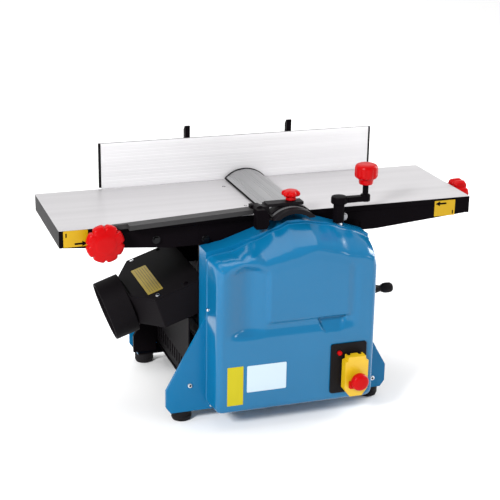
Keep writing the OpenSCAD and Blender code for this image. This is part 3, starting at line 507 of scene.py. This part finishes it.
addCover(coverSet)
print("cover done")

# lobed hand knobs, turned and then scalloped
knobSet = {
    "guard_pivot_knob": dict(
        name="PivotKnob", base=(-297, -119.2, 328), axis=(0, -1, 0), sides=160,
        profile=[(0, 20), (9, 20), (14, 19.7), (17, 19), (19.5, 17.7), (25, 17.3), (29, 16.2),
                 (31.2, 13.8), (32, 10.5), (32, 5.5), (31, 2.2), (28.5, 0.5), (24, 0), (12, 0),
                 (5, 0), (5, -26), (0, -26)],
        hollow=dict(count=8, depth=3.6, inner=20, outer=30, narrow=9)),
    "depth_knob": dict(
        name="DepthKnob", base=(373.5, -30, 330), axis=(1, 0, 0), sides=160,
        profile=[(0, -240), (5, -240), (5, -4), (11.4, -4), (12.5, -3), (12.5, 0.4), (22, 0.5),
                 (26.5, 1), (28.4, 3), (29, 7), (29, 17), (28.2, 20.6), (26, 22.8), (21, 23.6),
                 (16, 23.8), (13, 23), (0, 22.6)],
        hollow=dict(count=8, depth=4.8, inner=16, outer=26.5, narrow=3)),
    "guard_clamp_knob": dict(
        name="ClampKnob", base=(22, -126, 370.5), axis=(0, 0, 1), sides=120,
        profile=[(0, -0.4), (4, -0.4), (4, 5.3), (7.6, 5.3), (8.8, 6.2), (9, 8), (8.6, 11), (9.2, 12.4),
                 (13.4, 12.8), (15.4, 14), (16, 16), (15.8, 18.4), (14.4, 20.4), (11.6, 21.6),
                 (8, 22.7), (0, 23)],
        hollow=dict(count=6, depth=3.4, inner=9, outer=14.5, narrow=2, low=13)),
    "crank_knob": dict(
        name="CrankKnob", base=(157, -129, 390), axis=(0, 0, 1), sides=120,
        profile=[(0, 40), (8, 39.9), (14, 39.2), (17.4, 37.6), (19.2, 35), (19.8, 31.5), (19.8, 24),
                 (19.8, 19.4), (19, 16.8), (17.2, 15), (14.6, 14), (13.1, 13), (12.4, 10), (12.1, 6.4),
                 (11.2, 4.2), (5.1, 4.2), (5.1, 37.3), (0, 37.3)],
        hollow=dict(count=10, depth=1.2, inner=13, outer=18.6, narrow=3, low=16, high=31)),
    "height_lock_knob": dict(
        name="HeightLock", base=(161, -129, 200), axis=(1, 0, 0), sides=96, mat=blackPlastic,
        profile=[(0, 56), (4, 55.9), (6.6, 55), (8.6, 52.4), (9.4, 49), (9.5, 45), (9.4, 41), (8.6, 37.6),
                 (6.8, 34.6), (5.6, 32.6), (5.6, 31), (7, 26), (9.6, 17), (11.8, 9), (12.3, 6.4),
                 (11.6, 5.2), (9, 5.1), (9, -1.4), (8.4, -2), (5, -2), (5, -25), (0, -25)],
        hollow=dict(count=3, depth=1.6, inner=6, outer=9.4, narrow=2, low=36)),
}


def addKnob(node, s):
    bm = scallop(turning(s["profile"], s["sides"]), **s["hollow"])
    mat = s.get("mat", redPlastic)
    addPiece(standOn(bm, at(*s["base"]), s["axis"]), s["name"], [mat], node, smooth=45)


for node, s in knobSet.items():
    addKnob(node, s)
print("knobs done")

# bridge guard: arched extrusion with fine grooves along it, painted black as shade along its two lower side
# edges
guardSet = dict(x=18, half=38, crown=369, radius=50.97, wall=2.5, y=(-146, 104), step=0.8,
                grooves=[-33, -29, -25, -12, -8, -4, 9, 13, 17, 29, 33], groove=1.1, cut=0.55, lip=2,
                innerSpread=0.965)


def addGuard(s):
    centre = s["crown"] - s["radius"]
    spread = math.asin(s["half"] / s["radius"])
    count = round(2 * spread * s["radius"] / s["step"])
    points = []
    for i in range(count + 1):
        arc = (-spread + 2 * spread * i / count) * s["radius"]
        cut = s["cut"] * any(abs(arc - g) < s["groove"] / 2 for g in s["grooves"])
        angle, r = arc / s["radius"], s["radius"] - cut
        points.append((s["x"] + r * math.sin(angle), s["y"][0], centre + r * math.cos(angle)))
    inner = s["radius"] - s["wall"]
    for i in range(count + 1):
        angle = spread * s["innerSpread"] * (1 - 2 * i / count)
        points.append((s["x"] + inner * math.sin(angle), s["y"][0], centre + inner * math.cos(angle)))
    bm = shifted(raised(points, (0, s["y"][1] - s["y"][0], 0)))
    # painted shade: the faces at the two lower side edges of the arch are black
    for f in bm.faces:
        away = abs(f.calc_center_median().x - at(s["x"], 0, 0).x) / mm
        f.material_index = 1 if away > s["half"] - s["lip"] else 0
    addPiece(bm, "Guard", [extrudedY, blackPaint], "guard", smooth=25)


addGuard(guardSet)

# fence: extrusion with shallow grooves on its face; its top face is painted dark grey as shade
fenceSet = dict(x=(-249, 265), y=(111.5, 116), z=(349.4, 432), grooves=range(358, 428, 6), groove=0.6,
                cut=0.2, edge=1)


def addFence(s):
    x, (front, back), (low, high) = s["x"][0], s["y"], s["z"]
    points = [(x, front, low)]
    for g in s["grooves"]:
        for step, cut in ((-1, 0), (-0.5, s["cut"]), (0.5, s["cut"]), (1, 0)):
            points.append((x, front + cut, g + step * s["groove"]))
    points += [(x, front, high), (x, back, high), (x, back, low)]
    bm = shifted(raised(points, (s["x"][1] - x, 0, 0)))
    # painted shade: the narrow top face is dark grey
    for f in bm.faces:
        onTop = f.normal.z > 0.9 and f.calc_center_median().z > (high - s["edge"]) * mm
        f.material_index = 1 if onTop else 0
    addPiece(bm, "FencePlate", [extruded, fenceTopShade], "fence_plate", smooth=25)


addFence(fenceSet)
print("guard and fence done")

# crank: tapered arm between a turned hub and a spindle
crankSet = dict(
    hubAt=(109, -129, 0), postAt=(157, -129, 0), sides=48,
    hub=[(7.1, 331), (7.6, 330.2), (8.9, 330.2), (9.5, 331), (9.5, 362), (10, 363.2), (13.2, 363.8),
         (14, 365), (14, 373.4), (13.2, 375.2), (11.6, 376), (0, 376), (0, 370.2), (7.1, 370.2),
         (7.1, 331)],
    post=[(0, 364), (8, 364), (8.6, 364.8), (8.6, 374.2), (7.8, 375.6), (6.4, 376), (5, 376.4),
          (5, 425.6), (4.4, 426), (0, 426)],
    arm=[(108, -122), (108, -136), (158, -135), (158, -123)], armZ=364.4, armRise=9.4, ease=1.2,
)


def addCrank(s):
    bm = standOn(turning(s["hub"], s["sides"]), at(*s["hubAt"]), (0, 0, 1))
    joinInto(bm, standOn(turning(s["post"], s["sides"]), at(*s["postAt"]), (0, 0, 1)))
    outline = [(x, y, s["armZ"]) for x, y in s["arm"]]
    arm = raised(outline, (0, 0, s["armRise"]), corner=2, ease=s["ease"])
    joinInto(bm, shifted(arm))
    addPiece(bm, "CrankArm", [blackPaint], "crank_arm")


addCrank(crankSet)

# feet and round-head screws
footSet = dict(
    profile=[(4.6, 0.8), (5.4, 0), (14.6, 0), (15.8, 0.8), (16.8, 3.2), (17.4, 5), (17.4, 9), (16.8, 9.5),
             (16.8, 11), (17.4, 11.5), (17.5, 18.4), (16.6, 19.8), (15, 20), (4.6, 20), (4.6, 0.8)],
    places=[(x, y) for x in (-170, 178) for y in (-129, 129)], sides=56)
chuteSet = dict(x=-122, z=239.2, tilt=math.radians(19), top=3)  # where the sloping chute starts


# a place on the chute: down its slope, across it and above its middle plane
def chuteAt(u, y, w):
    sine, cosine = math.sin(chuteSet["tilt"]), math.cos(chuteSet["tilt"])
    return (chuteSet["x"] - u * cosine - w * sine, y, chuteSet["z"] - u * sine + w * cosine)


screwSides = 32
# painted shade: faces of a head's socket above this height and within this radius, in mm, are black
socketShadeSet = dict(above=0.5, within=1.95)
screwHead = [(0, 0), (4.5, 0), (4.5, 0.7), (4, 1.9), (2.9, 2.5), (2, 2.5), (1.8, 1), (0, 1)]
screwSet = {
    "leg_screws": dict(name="LegScrews", axis=(0, -1, 0), grow=1, dark=0,
                       places=[(-160, -148, 68), (178, -148, 38)]),
    "chute_screws": dict(name="ChuteScrews", axis=Vector(chuteAt(0, 0, 1)) - Vector(chuteAt(0, 0, 0)),
                         grow=0.88, dark=2,
                         places=[chuteAt(u, y, chuteSet["top"]) for u in (82, 30) for y in (-92, 92)]),
}


def addFeet(s):
    bm = bmesh.new()
    for x, y in s["places"]:
        joinInto(bm, standOn(turning(s["profile"], s["sides"]), at(x, y, 0), (0, 0, 1)))
    addPiece(bm, "RubberFeet", [rubber], "rubber_feet")


# zinc heads whose socket is painted black as shade; the last few of a set can be black all over
def addScrews(node, s):
    bm = bmesh.new()
    bright = len(s["places"]) - s["dark"]
    for i, p in enumerate(s["places"]):
        part = turning([(r * s["grow"], h * s["grow"]) for r, h in screwHead], screwSides)
        for f in part.faces:
            c = f.calc_center_median() / mm / s["grow"]
            # painted shade: the socket inside each head is black
            socketShade = c.z > socketShadeSet["above"] and c.xy.length < socketShadeSet["within"]
            f.material_index = 1 if socketShade or i >= bright else 0
        joinInto(bm, standOn(part, at(*p), s["axis"]))
    addPiece(bm, s["name"], [zincSteel, blackPaint], node)


addFeet(footSet)
for node, s in screwSet.items():
    addScrews(node, s)


# plain plates: feed arrows on the rails, a ribbed plate on the chute, two blank plates on the cover
def arrow(x, y, z, way, size=1.25):
    shape = [(-9, -1.3), (1, -1.3), (1, -3.6), (8, 0), (1, 3.6), (1, 1.3), (-9, 1.3)]
    points = [(x + way * size * a, y, z + size * b) for a, b in shape]
    return points if way > 0 else points[::-1]


def frontRect(xa, xb, za, zb, y):
    return [(xa, y, za), (xb, y, za), (xb, y, zb), (xa, y, zb)]


def chuteRect(ua, ub, ya, yb):
    return [chuteAt(u, y, chuteSet["top"]) for u, y in ((ua, ya), (ub, ya), (ub, yb), (ua, yb))]


plateSet = {
    "FeedArrowLeft": dict(
        points=frontRect(-361.5, -321, 321, 349, -110), rise=(0, -0.5, 0), corner=1.2, mat=arrowYellow,
        marks=[arrow(-332, -110, 326, 1), frontRect(-358, -355.8, 338, 345, -110)], markMat=blackPaint,
        body="frame", slot="yellow_plastic"),
    "FeedArrowRight": dict(
        points=frontRect(300, 340, 317.5, 346, -110), rise=(0, -0.5, 0), corner=1.2, mat=arrowYellow,
        marks=[arrow(311.5, -110, 340.5, -1), frontRect(334.6, 336.8, 320, 327, -110)],
        markMat=blackPaint, body="infeed", slot="yellow_plastic"),
    "CoverPlateWide": dict(
        points=frontRect(-77.5, -7.5, 69, 117, -205), rise=(0, -0.4, 0), corner=2, mat=paleLabel,
        marks=[], markMat=None, body="frame", slot="table_aluminium"),
    "CoverPlateTall": dict(
        points=frontRect(-112, -84, 48, 118, -205), rise=(0, -0.4, 0), corner=1, mat=plateYellow,
        marks=[], markMat=None, body="frame", slot="yellow_plastic"),
    "ChutePlate": dict(
        points=chuteRect(67, 95, -75, 48), rise=Vector(chuteAt(0, 0, 0.6)) - Vector(chuteAt(0, 0, 0)),
        corner=1.5, mat=goldPlate, marks=[chuteRect(u, u + 1, -70, 43) for u in (70.5, 75, 79.5, 84, 88.5)],
        markMat=goldInk, body="chute", slot="table_aluminium"),
}


# marks stand on the plate, as shares of the plate's own rise
markSet = dict(rise=0.3, start=0.97)
plateEase = 0.15


def addPlate(name, s):
    bm = raised(s["points"], s["rise"], corner=s["corner"], ease=plateEase)
    for m in s["marks"]:
        part = raised(m, [c * markSet["rise"] for c in s["rise"]])
        bmesh.ops.translate(part, vec=Vector(s["rise"]) * markSet["start"] * mm, verts=part.verts)
        for f in part.faces:
            f.material_index = 1
        joinInto(bm, part)
    mats = [s["mat"]] + ([s["markMat"]] if s["markMat"] else [])
    addPiece(shifted(bm), name, mats, body=s["body"])


for name, s in plateSet.items():
    addPlate(name, s)
print("plates done")

# switch: mushroom paddle with its tab
switchSet = dict(
    paddle=[(0, -2.5), (4, -2.5), (4, 10), (13.6, 10), (14.7, 10.6), (15, 12), (15, 17), (14.4, 19.4),
            (12.8, 21.4), (9.5, 22.6), (5, 23), (0, 23)], paddleAt=(112, -227.5, 80), sides=64,
    tab=[(96, 66.5), (114, 66.5), (114, 78.5), (96, 78.5)], tabY=-231.5, tabRise=7)


def addSwitch(s):
    bm = standOn(turning(s["paddle"], s["sides"]), at(*s["paddleAt"]), (0, -1, 0))
    outline = [(x, s["tabY"], z) for x, z in s["tab"]]
    tab = raised(outline, (0, -s["tabRise"], 0), corner=1, ease=0.8)
    joinInto(bm, shifted(tab))
    addPiece(bm, "StopPaddle", [redPlastic], "stop_paddle")


addSwitch(switchSet)

# small screws: two sunk in the outfeed table, two that hold the cover
smallScrewSet = {
    "TableScrews": dict(
        profile=[(0, -1.2), (2.2, -1.2), (3.2, 0), (3, 0.06), (1.6, 0.06), (1.5, -0.8), (0, -0.8)],
        places=[((-34.4, 66, 350), (0, 0, 1)), ((-34.3, -57.5, 350), (0, 0, 1))],
        mat=blackSteel, body=bodyOf["outfeed_table"]),
    "CoverScrews": dict(
        profile=[(0, -0.6), (2.8, -0.6), (2.8, 0.4), (2.2, 1.3), (1.2, 1.6), (1, 0.8), (0, 0.8)],
        places=[((-132.6, -158, 206), (-1, 0, 0)), ((-122.6, -148, 25.6), (0, -1, 0))],
        mat=zincSteel, body=bodyOf["front_cover"]),
}


def addSmallScrews(name, s):
    bm = bmesh.new()
    for place, axis in s["places"]:
        joinInto(bm, standOn(turning(s["profile"], screwSides), at(*place), axis))
    addPiece(bm, name, [s["mat"]], body=s["body"])


for name, s in smallScrewSet.items():
    addSmallScrews(name, s)
print("switch and small screws done")

# the other visible nodes: copies with their edges eased, in mm
easedNodes = dict(
    outfeed_rails=1.0, infeed_rails=1.0, front_side_frame=1.2, rear_side_frame=1.2,
    guard_arm=0.9, guard_holder=0.9, guard_end_caps=0.8, fence_posts=0.8, fence_brackets=0.5,
    fence_end_caps=0.6, chute_hood=1.5, chute_lid=0.8, vent_panel=0.6, switch_flap=1.0,
    rail_bolts=0.5, infeed_bolts=0.5, cord_gland=0.8, reset_button=0.6, switch_plate=0.8,
)
finishFor = dict(
    rail_bolts=blackSteel, infeed_bolts=machinedSteel, guard_holder=blackPlastic, guard_arm=greyPlastic,
    chute_hood=chuteBlack, chute_lid=chuteBlack, vent_panel=chuteBlack,
)
cornerSet = dict(node="switch_plate", corner=4)  # rounded as seen from the front
# the rear frame is black where it is seen below the fence, and at its feet
darkSet = dict(node="rear_side_frame", above=322, below=26)
# the hinge block at the end of the guard arm is black
blockSet = dict(node="guard_arm", fromX=-48.3)
# the guard's rear cap stands a little proud of the guard
lipSet = dict(node="guard_end_caps", fromY=103.5, axis=(18, 0, 318.03), radius=50.5, rise=1.2)


def roundCorners(bm, s):
    xs = [v.co.x for v in bm.verts]
    zs = [v.co.z for v in bm.verts]
    ends = [v for v in bm.verts if v.co.x in (min(xs), max(xs)) and v.co.z in (min(zs), max(zs))]
    turned = []
    for e in bm.edges:
        a, b = e.verts
        if a in ends and b in ends and abs(a.co.y - b.co.y) > mm:
            turned.append(e)
    bmesh.ops.bevel(bm, geom=turned, offset=s["corner"] * mm, offset_type="OFFSET", segments=5,
                    profile=0.5, affect="EDGES", material=-1)


def darkenEnds(bm, s):
    for level in (s["above"], s["below"]):
        whole = bm.verts[:] + bm.edges[:] + bm.faces[:]
        bmesh.ops.bisect_plane(bm, geom=whole, plane_co=at(0, 0, level), plane_no=(0, 0, 1))
    for f in bm.faces:
        z = f.calc_center_median().z / mm
        outer = f.normal.y > 0.5 or abs(f.normal.x) > 0.5
        f.material_index = 1 if not outer and (z > s["above"] or z < s["below"]) else 0


def darkenBlock(bm, s):
    for f in bm.faces:
        f.material_index = 1 if f.calc_center_median().x > at(s["fromX"], 0, 0).x else 0


def raiseLip(bm, s):
    for v in bm.verts:
        arm = v.co - at(*s["axis"])
        reach = math.hypot(arm.x, arm.z)
        if v.co.y > at(0, s["fromY"], 0).y and reach > s["radius"] * mm:
            v.co.x += arm.x / reach * s["rise"] * mm
            v.co.z += arm.z / reach * s["rise"] * mm


def addEased(node, ease):
    bm = mergedCopy(node)
    mats = [finishFor.get(node, finishOf[slotOf[node]])]
    if node == cornerSet["node"]:
        roundCorners(bm, cornerSet)
    easeEdges(bm, ease)
    if node == darkSet["node"]:
        darkenEnds(bm, darkSet)
        mats.append(blackPaint)
    if node == blockSet["node"]:
        darkenBlock(bm, blockSet)
        mats.append(blackPaint)
    if node == lipSet["node"]:
        raiseLip(bm, lipSet)
    addPiece(bm, node.title().replace("_", ""), mats, node)


for node, ease in easedNodes.items():
    addEased(node, ease)
print("eased copies done")
